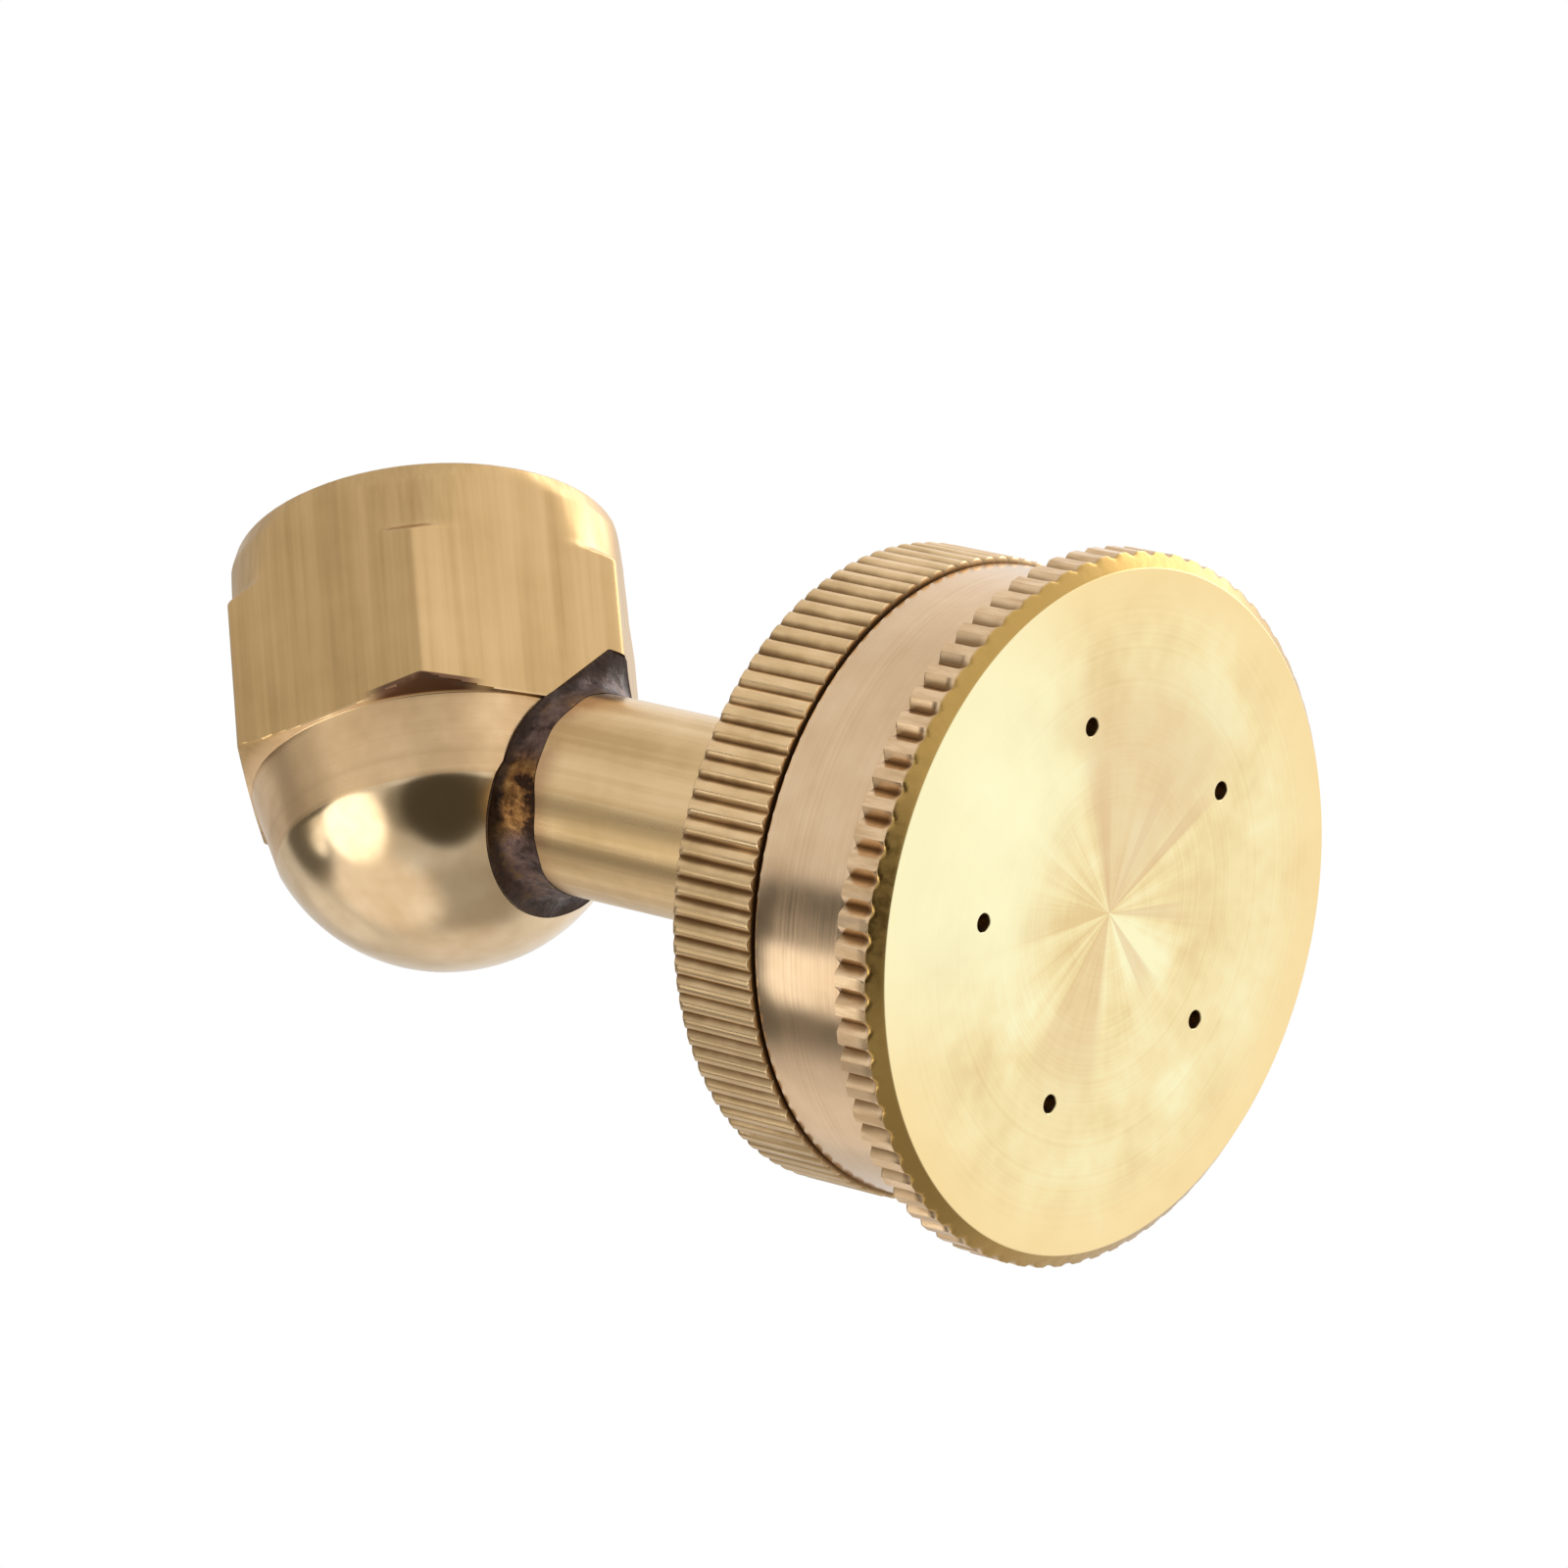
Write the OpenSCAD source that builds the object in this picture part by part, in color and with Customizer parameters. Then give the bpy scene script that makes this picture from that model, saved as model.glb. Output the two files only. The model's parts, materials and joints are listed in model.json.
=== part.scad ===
// Open brass spray sprinkler head: a hexagonal inlet elbow, a brazed stem tube
// and a round spray head whose screw cap holds five swirl cores.
// Origin: start of the inlet thread, on the inlet axis. +Z points out of the inlet.
// The spray leaves along -Y and -Z, in the plane X = 0.

/* [Inlet elbow] */
// Width across the flats of the inlet hexagon
hex_af = 25; // [24:0.5:26]
// Minor diameter of the female inlet thread (G 1/2)
thread_minor_d = 18.632; // [18.2:0.001:18.7]
// Length of full inlet thread
thread_len = 8.6; // [8:0.1:9]
// Angle between the inlet direction and the spray direction
bend_angle = 120; // [115:1:125]
// Depth of the point where inlet axis and spray axis meet
bend_depth = 14; // [13.5:0.1:14.5]
// Radius of the polished dome under the hexagon
dome_r = 12.2; // [12:0.1:12.4]

/* [Stem] */
// Outer diameter of the stem tube
tube_d = 13; // [12.6:0.1:13.4]
// Wall of the stem tube
tube_wall = 1.5; // [1.2:0.1:1.8]
// Distance from the bend to the spray face
face_s = 54.6; // [52:0.2:60]

/* [Spray head] */
// Diameter of the cap's flange over the teeth
flange_d = 44; // [43.6:0.1:46]
// Diameter of the plain band behind the flange
band_d = 39.2; // [39:0.1:41]
// Diameter of the knurled rear housing
housing_d = 40; // [39:0.1:41]
// Teeth round the cap's flange
flange_teeth = 76; // [60:1:90]
// Teeth round the rear housing
housing_teeth = 100; // [80:1:110]
// Number of orifices and swirl cores
orifices = 5; // [5]
// Diameter of one orifice
orifice_d = 1.16; // [0.8:0.02:1.4]
// Diameter of the circle of orifices
orifice_pcd = 24.2; // [22:0.1:24.4]

/* [Hidden] */
$fn = 96;
BRASS = [0.80, 0.66, 0.38];
PALE_BRASS = [0.93, 0.84, 0.58];
BRAZE = [0.42, 0.27, 0.18];
STEEL = [0.72, 0.73, 0.74];
FIBRE = [0.62, 0.16, 0.12];
RUBBER = [0.10, 0.10, 0.10];

fit = 0.05;                               // radial clearance of a fit
cut = 1;                                  // how far a cutter runs past a face

// Elbow, heights along the inlet axis
rim_z = 1;                                // end face of the inlet
hex_r = hex_af / 2 / cos(30);             // radius of the hexagon's corners
rim_r = hex_af / 2 - 0.1;                 // edge of the end face
collar_r = hex_af / 2 + 0.45;             // turned collar that trims the hexagon's corners
collar_end_r = collar_r + 0.35;           // it is slightly tapered
collar_top_z = rim_z - 0.6;
collar_z = rim_z - 4.9;
top_corner_z = collar_z - 0.8;            // corners start under the collar's sloped shoulder
neck_r = hex_af / 2 - 0.1;                // turned neck under the hexagon
neck_z = rim_z - 16.5;
low_chamfer = 16;                         // slope under the hexagon's corners
low_corner_z = neck_z + (hex_r - neck_r) * tan(low_chamfer);
dome_z = neck_z;                          // centre of the dome
dome_edge_z = neck_z - 5;                 // crisp edge between taper and dome
edge_lip = 0.1;                           // the edge stands a hair proud of the dome
dome_edge_r = sqrt(pow(dome_r, 2) - pow(dome_edge_z - dome_z, 2)) + edge_lip;
core_lap = 1;                             // the turned core runs into hexagon and dome
thread_r = thread_minor_d / 2;
groove_r = thread_r + 1.1;                // run-out groove under the thread
seat_z = -thread_len - 2.4;               // seat of the strainer
waterway_r = 6.5;
waterway_z = seat_z - 7;

// Strainer and washer in the inlet
strainer_r = 6.2;
strainer_wall = 0.3;
strainer_len = 6.5;
strainer_flange_r = thread_r - 0.2;
strainer_flange_t = 0.5;
washer_in_r = 7;
washer_t = 1.6;

// Stem, distances along the spray axis from the bend
tube_r = tube_d / 2;
tube_bore_r = tube_r - tube_wall;
tube_start_s = 7;
spotface_s = 10.7;
spotface_r = 9.3;
braze_r = 7.7;
fillet_base_s = 10.85;
fillet_end_s = 13.2;
fillet_steps = 10;

// Rear housing
housing_back_s = face_s - 17.7;
seam_s = face_s - 11.6;
housing_wall = 3;
housing_r = housing_d / 2;
housing_knurl = 0.45;                     // depth of the grooves
spigot_r = 17;
spigot_bore_r = 14.5;
spigot_end_s = seam_s + 6;
braze_leg = 1.3;                          // leg of the braze bead behind the housing

// Cap
cap_start_s = seam_s + 0.1;
flange_r = flange_d / 2;
flange_back_s = face_s - 3.2;
edge_t = 0.75;                            // turned front edge before the teeth
edge_r = flange_r - 0.95;
flange_knurl = 0.7;
skirt_end_s = spigot_end_s + 0.9;
boss_r = spigot_bore_r - 0.4;
boss_s = face_s - 7.6;
gasket_t = 0.8;
gasket_in_r = 14.7;
gasket_out_r = spigot_r - 0.2;

// Swirl cores, springs and their retainer
core_angle = 57.6;                        // first orifice, from +X
pocket_r = 2.5;
orifice_web = 1.2;
swirl_depth = 0.3;
core_r = pocket_r - fit;
core_len = 3.4;
core_end_s = face_s - orifice_web - swirl_depth;
slot_w = 0.7;
slot_tilt = 25;
spring_r = 1.9;
spring_wire_r = 0.25;
spring_turns = 4;
spring_sides = 8;
spring_rings = 16;                        // rings per turn
retainer_r = boss_r - 0.1;
retainer_t = 1.2;
retainer_s = boss_s - retainer_t;
feed_r = 1.4;
screw_r = 1.5;
screw_len = 4;
screw_head_r = 2.8;
screw_head_t = 1.6;
driver_w = 0.6;
lock_washer_r = 3.2;
lock_washer_t = 0.5;

// Puts a shape on the spray axis, s from the bend; local Y is the upper side.
module on_spray(s) {
    translate([0, 0, -bend_depth]) rotate([bend_angle, 0, 0]) translate([0, 0, s]) children();
}

// Puts a shape on the axis of orifice k, s from the bend.
module at_orifice(k, s) {
    on_spray(s) rotate([0, 0, core_angle + (k - 1) * 360 / orifices])
        translate([orifice_pcd / 2, 0, 0]) children();
}

module ring(outer_r, inner_r, t) {
    difference() {
        cylinder(h = t, r = outer_r);
        translate([0, 0, -cut]) cylinder(h = t + 2 * cut, r = inner_r);
    }
}

// Straight knurl: a toothed outline run along the axis.
module knurl(r, depth, teeth, width) {
    linear_extrude(width)
        polygon([for (i = [0 : 2 * teeth - 1])
            let (a = 180 * i / teeth, q = i % 2 == 0 ? r : r - depth) [q * cos(a), q * sin(a)]]);
}

module elbow_blank() {
    intersection() {
        translate([0, 0, neck_z]) rotate(30) cylinder(h = rim_z - neck_z, r = hex_r, $fn = 6);
        rotate_extrude()
            polygon([[0, rim_z], [rim_r, rim_z], [collar_r, collar_top_z],
                     [collar_end_r, collar_z], [hex_r, top_corner_z], [hex_r, low_corner_z],
                     [neck_r, neck_z], [0, neck_z]]);
    }
    rotate_extrude()
        polygon([[0, neck_z + core_lap], [neck_r, neck_z + core_lap], [neck_r, neck_z],
                 [dome_edge_r, dome_edge_z], [dome_edge_r - core_lap, dome_edge_z - core_lap],
                 [0, dome_edge_z - core_lap]]);
    intersection() {
        translate([0, 0, dome_z]) sphere(r = dome_r);
        translate([0, 0, dome_edge_z - dome_r]) cylinder(h = dome_r, r = dome_r);
    }
}

module elbow_body() {
    color(BRASS) difference() {
        elbow_blank();
        translate([0, 0, seat_z]) cylinder(h = rim_z - seat_z + cut, r = thread_r);
        cylinder(h = rim_z + fit, r1 = thread_r, r2 = thread_r + rim_z + fit);
        translate([0, 0, seat_z]) cylinder(h = -thread_len - seat_z, r = groove_r);
        translate([0, 0, waterway_z]) cylinder(h = seat_z - waterway_z + fit, r = waterway_r);
        on_spray(0) cylinder(h = spotface_s, r = tube_bore_r);
        on_spray(tube_start_s) cylinder(h = spotface_s, r = tube_r + fit);
        on_spray(spotface_s) cylinder(h = dome_r, r = spotface_r);
    }
}

module inlet_washer() {
    color(FIBRE) translate([0, 0, seat_z + strainer_flange_t])
        ring(groove_r - 2 * fit, washer_in_r, washer_t);
}

module strainer_rim() {
    color(STEEL) translate([0, 0, seat_z]) ring(strainer_flange_r, strainer_r, strainer_flange_t);
}

module strainer_screen() {
    color(STEEL) translate([0, 0, seat_z + strainer_flange_t - strainer_len]) difference() {
        cylinder(h = strainer_len, r = strainer_r - fit);
        translate([0, 0, strainer_wall]) cylinder(h = strainer_len, r = strainer_r - fit - strainer_wall);
    }
}

// Concave braze fillet between the spot-faced elbow and the tube.
module elbow_braze() {
    rise = fillet_end_s - fillet_base_s;
    reach = braze_r - tube_r - fit;
    color(BRAZE) on_spray(0) rotate_extrude()
        polygon(concat(
            [[tube_r + fit, spotface_s], [braze_r, spotface_s]],
            [for (i = [0 : fillet_steps]) let (a = 90 * i / fillet_steps)
                [tube_r + fit + reach * (1 - sin(a)), fillet_base_s + rise * (1 - cos(a))]]));
}

module stem_tube() {
    color(BRASS) on_spray(tube_start_s)
        ring(tube_r, tube_bore_r, housing_back_s + housing_wall - tube_start_s);
}

module housing_braze() {
    color(BRAZE) on_spray(0) rotate_extrude()
        polygon([[tube_r + fit, housing_back_s - braze_leg], [tube_r + fit + braze_leg, housing_back_s],
                 [tube_r + fit, housing_back_s]]);
}

module rear_housing() {
    color(BRASS) on_spray(0) difference() {
        union() {
            translate([0, 0, housing_back_s])
                knurl(housing_r, housing_knurl, housing_teeth, seam_s - housing_back_s);
            translate([0, 0, seam_s - cut]) cylinder(h = spigot_end_s - seam_s + cut, r = spigot_r);
        }
        translate([0, 0, housing_back_s + housing_wall]) cylinder(h = face_s, r = spigot_bore_r);
        translate([0, 0, housing_back_s - cut]) cylinder(h = housing_wall + 2 * cut, r = tube_r + fit);
    }
}

module cap_gasket() {
    color(RUBBER) on_spray(spigot_end_s + fit) ring(gasket_out_r, gasket_in_r, gasket_t);
}

module cap_shell() {
    difference() {
        union() {
            translate([0, 0, cap_start_s]) cylinder(h = flange_back_s - cap_start_s + cut, r = band_d / 2);
            translate([0, 0, flange_back_s])
                knurl(flange_r, flange_knurl, flange_teeth, face_s - edge_t - flange_back_s);
            translate([0, 0, face_s - edge_t]) cylinder(h = edge_t, r1 = flange_r - fit, r2 = edge_r);
        }
        translate([0, 0, cap_start_s - cut])
            cylinder(h = skirt_end_s - cap_start_s + cut, r = spigot_r + fit);
    }
    translate([0, 0, boss_s]) cylinder(h = skirt_end_s - boss_s + cut, r = boss_r);
}

module front_cap() {
    color(PALE_BRASS) difference() {
        on_spray(0) cap_shell();
        for (k = [1 : orifices]) {
            at_orifice(k, boss_s - cut) cylinder(h = core_end_s - boss_s + cut, r = pocket_r);
            at_orifice(k, core_end_s - cut) cylinder(h = swirl_depth + cut, r = pocket_r / 2);
            at_orifice(k, core_end_s) cylinder(h = face_s - core_end_s + cut, r = orifice_d / 2);
        }
        on_spray(boss_s - cut) cylinder(h = screw_len + cut, r = screw_r + fit);
    }
}

// Plate that keeps the springs and cores in their pockets; water enters by its holes.
module core_retainer() {
    color(STEEL) difference() {
        on_spray(retainer_s) cylinder(h = retainer_t, r = retainer_r);
        for (k = [1 : orifices]) at_orifice(k, retainer_s - cut) cylinder(h = retainer_t + 2 * cut, r = feed_r);
        on_spray(retainer_s - cut) cylinder(h = retainer_t + 2 * cut, r = screw_r + fit);
    }
}

module retainer_washer() {
    color(STEEL) on_spray(retainer_s - lock_washer_t) ring(lock_washer_r, screw_r + fit, lock_washer_t);
}

module retainer_screw() {
    color(STEEL) on_spray(retainer_s - lock_washer_t) difference() {
        union() {
            translate([0, 0, -screw_head_t]) cylinder(h = screw_head_t, r = screw_head_r);
            cylinder(h = lock_washer_t + retainer_t + screw_len - fit, r = screw_r);
        }
        translate([-screw_head_r - cut, -driver_w / 2, -screw_head_t - cut])
            cube([2 * (screw_head_r + cut), driver_w, screw_head_t / 2 + cut]);
    }
}

// Plug with three slanted slots that set the water spinning.
module swirl_core(k) {
    color(BRASS) at_orifice(k, core_end_s - core_len) difference() {
        cylinder(h = core_len - fit, r = core_r);
        for (i = [0 : 2])
            rotate(120 * i) translate([core_r, 0, core_len / 2]) rotate([slot_tilt, 0, 0])
                cube([2 * slot_w, slot_w, 2 * core_len], center = true);
    }
}

// Closed round-wire coil swept from its own helix.
module core_spring(k) {
    rings = spring_turns * spring_rings;
    height = core_end_s - core_len - boss_s - 2 * spring_wire_r - 2 * fit;
    points = [for (i = [0 : rings]) let (turn = 360 * i / spring_rings, z = height * i / rings)
        for (j = [0 : spring_sides - 1]) let (a = 360 * j / spring_sides, q = spring_r + spring_wire_r * cos(a))
            [q * cos(turn), q * sin(turn), z + spring_wire_r * sin(a)]];
    walls = [for (i = [0 : rings - 1]) for (j = [0 : spring_sides - 1])
        let (j2 = (j + 1) % spring_sides, p = i * spring_sides)
            [p + j, p + j2, p + j2 + spring_sides, p + j + spring_sides]];
    ends = [[for (j = [spring_sides - 1 : -1 : 0]) j],
            [for (j = [0 : spring_sides - 1]) rings * spring_sides + j]];
    color(STEEL) at_orifice(k, boss_s + spring_wire_r + fit)
        polyhedron(points = points, faces = concat(walls, ends), convexity = 6);
}

elbow_body();
inlet_washer();
strainer_rim();
strainer_screen();
elbow_braze();
stem_tube();
housing_braze();
rear_housing();
cap_gasket();
front_cap();
core_retainer();
retainer_washer();
retainer_screw();
for (k = [1 : orifices]) swirl_core(k);
for (k = [1 : orifices]) core_spring(k);
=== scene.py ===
import json
import math

import bmesh
import bpy
import numpy as np
from mathutils import Matrix, Vector


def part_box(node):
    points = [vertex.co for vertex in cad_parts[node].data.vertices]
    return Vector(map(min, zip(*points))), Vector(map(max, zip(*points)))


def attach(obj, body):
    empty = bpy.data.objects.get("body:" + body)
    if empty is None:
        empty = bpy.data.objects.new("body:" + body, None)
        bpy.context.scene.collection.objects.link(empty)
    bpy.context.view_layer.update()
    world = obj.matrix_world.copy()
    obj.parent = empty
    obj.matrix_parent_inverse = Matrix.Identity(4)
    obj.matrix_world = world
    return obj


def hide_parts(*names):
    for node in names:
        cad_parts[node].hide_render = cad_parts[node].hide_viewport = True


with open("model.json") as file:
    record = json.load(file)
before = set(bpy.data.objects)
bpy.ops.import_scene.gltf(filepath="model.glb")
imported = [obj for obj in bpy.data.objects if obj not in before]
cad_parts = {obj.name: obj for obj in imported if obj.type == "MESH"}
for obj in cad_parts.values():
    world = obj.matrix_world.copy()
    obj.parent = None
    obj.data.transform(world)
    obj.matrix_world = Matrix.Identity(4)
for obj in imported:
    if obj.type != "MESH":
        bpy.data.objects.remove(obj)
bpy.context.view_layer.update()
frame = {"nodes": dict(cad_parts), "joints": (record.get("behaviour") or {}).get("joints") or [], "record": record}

MM = 0.001
JOINTS = {j["name"]: j for j in frame["joints"]}
MOUNTS = {m["name"]: m for m in frame["record"]["mounts"]}

# ---- Driving dimensions, in millimetres and radians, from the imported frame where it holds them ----


def half_width(node):
    """Half a node's width along X, in millimetres: the radius of a round piece on an axis in X = 0."""
    low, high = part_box(node)
    return (high.x - low.x) / 2 / MM


SPRAY = Vector(JOINTS["cap_turn"]["axis"]).normalized()
FACE = Vector(JOINTS["cap_turn"]["pos_m"]) / MM
BEND = Vector((0, 0, FACE.z - FACE.y * SPRAY.z / SPRAY.y))
FACE_S = (FACE - BEND).length
HEX_FLAT = half_width("elbow_body")
FLANGE_R = half_width("front_cap")
HOUSING_R = half_width("rear_housing")
TUBE_R = half_width("stem_tube")
THREAD_R = MOUNTS["inlet_thread"]["dims"]["r_mm"]
THREAD_LEN = MOUNTS["inlet_thread"]["dims"]["length_mm"]
RIM_Z = MOUNTS["inlet_face"]["pos_m"][2] / MM

# Elbow: radii round the inlet axis and heights on it
HEX_CORNER_R = HEX_FLAT / math.cos(math.pi / 6)
HEX_CORNER_ROUND = 0.35
COLLAR_R = HEX_FLAT + 0.45
COLLAR_Z = RIM_Z - 4.9
TOP_CORNER_Z = COLLAR_Z - 0.8
NECK_Z = RIM_Z - 16.5
NECK_R = HEX_FLAT - 0.1
LOW_CHAMFER = math.radians(16)
LOW_CORNER_Z = NECK_Z + (HEX_CORNER_R - NECK_R) * math.tan(LOW_CHAMFER)
DOME_Z = NECK_Z
DOME_R = DOME_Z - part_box("elbow_body")[0].z / MM
DOME_EDGE_Z = NECK_Z - 5
DOME_EDGE_R = math.sqrt(DOME_R**2 - (DOME_EDGE_Z - DOME_Z) ** 2)
DOME_RINGS = 34
SEAT_Z = -THREAD_LEN - 2.4
WATERWAY_R = 6.5
WATERWAY_Z = SEAT_Z - 7
GROOVE_R = THREAD_R + 1.1
INLET_PITCH = 25.4 / 14
INLET_DEPTH = 1.16
INLET_RINGS = 76
MOUTH_R = THREAD_R + 1.1
MOUTH_CHAMFER = 1.15
STRAINER_R = 6.15
STRAINER_DROP = 6

# Stem and head: radii round the spray axis and distances from the bend along it
TUBE_BORE_R = TUBE_R + 0.05
TUBE_WALL = 1.5
BRAZE_BORE_R = TUBE_R + 0.02
TUBE_START_S = 7.0
SPOTFACE_S = 10.7
SPOTFACE_R = 9.3
FILLET_END_S = 13.2
HOUSING_S = FACE_S - 17.7
SEAM_S = FACE_S - 11.6
SPIGOT_S = SEAM_S + 6
SPIGOT_R = 17.0
SPIGOT_BORE_R = 14.5
SPIGOT_THREAD_DEPTH = 0.55
HOUSING_WALL = 3.0
HOUSING_TEETH = 100
HOUSING_GROOVE_DEPTH = 0.38
FLANGE_S = FACE_S - 3.2
FLANGE_TEETH = 76
FLANGE_GROOVE_DEPTH = 0.62
BAND_R = 19.6
EDGE_R = FLANGE_R - 0.95
EDGE_T = 0.8
SKIRT_S = SPIGOT_S + 0.9
CAP_THREAD_R = SPIGOT_R + 0.1
CAP_THREAD_DEPTH = 0.5
CAP_BOSS_S = FACE_S - 7.6
CAP_BOSS_R = SPIGOT_BORE_R - 0.4
CAP_PITCH = 1.0
THREAD_RINGS = 62
THREAD_FADE = 0.5
KNURL_LAND = 0.42
KNURL_RUNOUT = 0.5
ORIFICES = 5
ORIFICE_R = 0.58
ORIFICE_CIRCLE_R = 12.1
ORIFICE_START = math.radians(57.6)
POCKET_R = 2.5
CORE_END_S = FACE_S - 1.5
SCREW_HOLE_R = 1.55
SCREW_HOLE_DEPTH = 4

# From the spray axis's own frame, with the bend as origin, into the row frame
SPRAY_FRAME = Matrix((
    (1, 0, 0, 0),
    (0, SPRAY.z, SPRAY.y, BEND.y * MM),
    (0, -SPRAY.y, SPRAY.z, BEND.z * MM),
    (0, 0, 0, 1),
))
SPRAY_FRAME_MM = SPRAY_FRAME.copy()
SPRAY_FRAME_MM.translation = SPRAY_FRAME.translation / MM

# Edges that turn by more than this are shaded sharp
SHARP_ANGLE = math.radians(32)

# ---- Mesh helpers: everything is built in millimetres and scaled at the end ----


def filleted(points, steps=4):
    """A polyline of (r, z, fillet radius) with each inner corner turned into an arc."""
    path = []
    for i, (r, z, radius) in enumerate(points):
        here = Vector((r, z))
        if radius <= 0 or i in (0, len(points) - 1):
            path.append(here)
            continue
        a = Vector(points[i - 1][:2]) - here
        b = Vector(points[i + 1][:2]) - here
        half = a.angle(b) / 2
        reach = min(radius / math.tan(half), 0.48 * a.length, 0.48 * b.length)
        start, end = here + a.normalized() * reach, here + b.normalized() * reach
        for k in range(steps + 1):
            t = k / steps
            path.append(start * (1 - t) ** 2 + here * 2 * t * (1 - t) + end * t**2)
    return path


def divided(path, longest):
    """The path with points added so that no step is longer than longest."""
    out = [path[0]]
    for a, b in zip(path, path[1:]):
        n = max(1, math.ceil((b - a).length / longest))
        out += [a.lerp(b, k / n) for k in range(1, n + 1)]
    return out


def angles(columns):
    """Evenly spaced angles, one for each column."""
    return np.arange(columns) * 2 * math.pi / columns


def around_axis(r, z, a):
    """Points at height z and the angles a; r may be a number or an array with a radius for each."""
    return np.stack([r * np.cos(a), r * np.sin(a), np.full(len(a), z)], 1)


def ring(r, z, columns):
    """One circle of evenly spaced points."""
    return around_axis(r, z, angles(columns))


def pole(z):
    """A ring of one point on the axis."""
    return np.array([(0, 0, z)])


def skin(name, rings, loop=False):
    """A mesh over a stack of rings. The point counts of two neighbours may differ by a whole factor."""
    points, starts = [], []
    for q in rings:
        starts.append(len(points))
        points.extend(q)
    faces = []
    pairs = list(zip(range(len(rings)), range(1, len(rings))))
    if loop:
        pairs.append((len(rings) - 1, 0))
    for i, j in pairs:
        a, b, na, nb = starts[i], starts[j], len(rings[i]), len(rings[j])
        if na == nb:
            faces += [(a + k, a + (k + 1) % na, b + (k + 1) % na, b + k) for k in range(na)]
        elif nb < na:
            faces += stitched(a, na, b, nb, False)
        else:
            faces += stitched(b, nb, a, na, True)
    mesh = bpy.data.meshes.new(name)
    mesh.from_pydata([tuple(p) for p in points], [], faces)
    mesh.update()
    return mesh


def stitched(fine, n_fine, coarse, n_coarse, flip):
    """Triangles between a fine ring and a coarse one."""
    m = n_fine // n_coarse
    faces = []
    for k in range(n_coarse):
        here, there = coarse + k, coarse + (k + 1) % n_coarse
        for i in range(m):
            apex = here if i < m / 2 else there
            faces.append((fine + k * m + i, fine + (k * m + i + 1) % n_fine, apex))
        if n_coarse > 1:
            faces.append((here, fine + (k * m + math.ceil(m / 2)) % n_fine, there))
    return [f[::-1] for f in faces] if flip else faces


def lathe(name, path, columns, loop=True):
    """A closed turned solid from a profile of (r, z); a profile that ends on the axis gets poles."""
    rings = [ring(p.x, p.y, columns) if p.x > 1e-6 else pole(p.y) for p in path]
    return skin(name, rings, loop)


def face_outwards(mesh, merge=None):
    """Turns the faces of a mesh outwards, after merging points closer than merge."""
    bm = bmesh.new()
    bm.from_mesh(mesh)
    if merge is not None:
        bmesh.ops.remove_doubles(bm, verts=bm.verts, dist=merge)
    bmesh.ops.recalc_face_normals(bm, faces=bm.faces)
    bm.to_mesh(mesh)
    bm.free()


def piece(name, mesh, material, body, nodes, frame_matrix=None):
    """Makes a mesh a piece of the object: scaled to metres, in place, shaded, riding on its body."""
    mesh.transform(Matrix.Scale(MM, 4))
    if frame_matrix is not None:
        mesh.transform(frame_matrix)
    face_outwards(mesh, merge=1e-7)
    mesh.polygons.foreach_set("use_smooth", [True] * len(mesh.polygons))
    mesh.set_sharp_from_angle(angle=SHARP_ANGLE)
    obj = bpy.data.objects.new(name, mesh)
    bpy.context.scene.collection.objects.link(obj)
    mesh.materials.append(material)
    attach(obj, body)
    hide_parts(*nodes)


def cut_away(mesh, cutter):
    """mesh with the cutter mesh taken away, both in the same frame."""
    face_outwards(mesh)
    face_outwards(cutter)
    solid = bpy.data.objects.new("solid", mesh)
    tool = bpy.data.objects.new("tool", cutter)
    bpy.context.scene.collection.objects.link(solid)
    bpy.context.scene.collection.objects.link(tool)
    modifier = solid.modifiers.new("cut", "BOOLEAN")
    modifier.object = tool
    modifier.operation = "DIFFERENCE"
    modifier.solver = "EXACT"
    evaluated = solid.evaluated_get(bpy.context.evaluated_depsgraph_get())
    result = bpy.data.meshes.new_from_object(evaluated)
    bpy.data.objects.remove(solid)
    bpy.data.objects.remove(tool)
    return result


# ---- Materials: noise runs from about 0.36 to 0.64, and so do the ramps and steps fed by it ----

# The colour of a darker patch on the low chamfer of the hexagon
DARK_CHAMFER_COLOUR = (0.16, 0.085, 0.05)
ELBOW_BORE = (0.40, 0.26, 0.12)
HEAT_TINT = (0.50, 0.29, 0.15)
# Colour the knurls' lands turn towards one side
LOW_SIDE_DARKER = (0.40, 0.29, 0.16)
FACE_OUTER = (0.88, 0.68, 0.34)
# Painted highlight and painted shade of the faced front's reflection
PAINTED_FACE_HIGHLIGHT = (0.93, 0.90, 0.58)
PAINTED_FACE_SHADE = (0.70, 0.49, 0.27)
# Painted shade in the bottoms of the flange's knurl grooves
FLANGE_GROOVE_SHADE = (0.30, 0.18, 0.085)
# Painted shade on the flange's edge band between the teeth and the face
FLANGE_EDGE_SHADE = (0.48, 0.30, 0.09)
CAP_INSIDE = (0.42, 0.29, 0.14)
# Painted shadow at the foot of the braze
BRAZE_FOOT_SHADOW = (0.035, 0.02, 0.014)


def new_material(name, roughness, metallic=1.0):
    """A material whose constants sit on the shader's own sockets."""
    m = bpy.data.materials.new(name)
    m.use_nodes = True
    shader = m.node_tree.nodes["Principled BSDF"]
    shader.inputs["Roughness"].default_value = roughness
    shader.inputs["Metallic"].default_value = metallic
    return m


def feed(m, socket, value):
    """Links a socket, or sets its constant."""
    if isinstance(value, bpy.types.NodeSocket):
        m.node_tree.links.new(value, socket)
    else:
        socket.default_value = value


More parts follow.
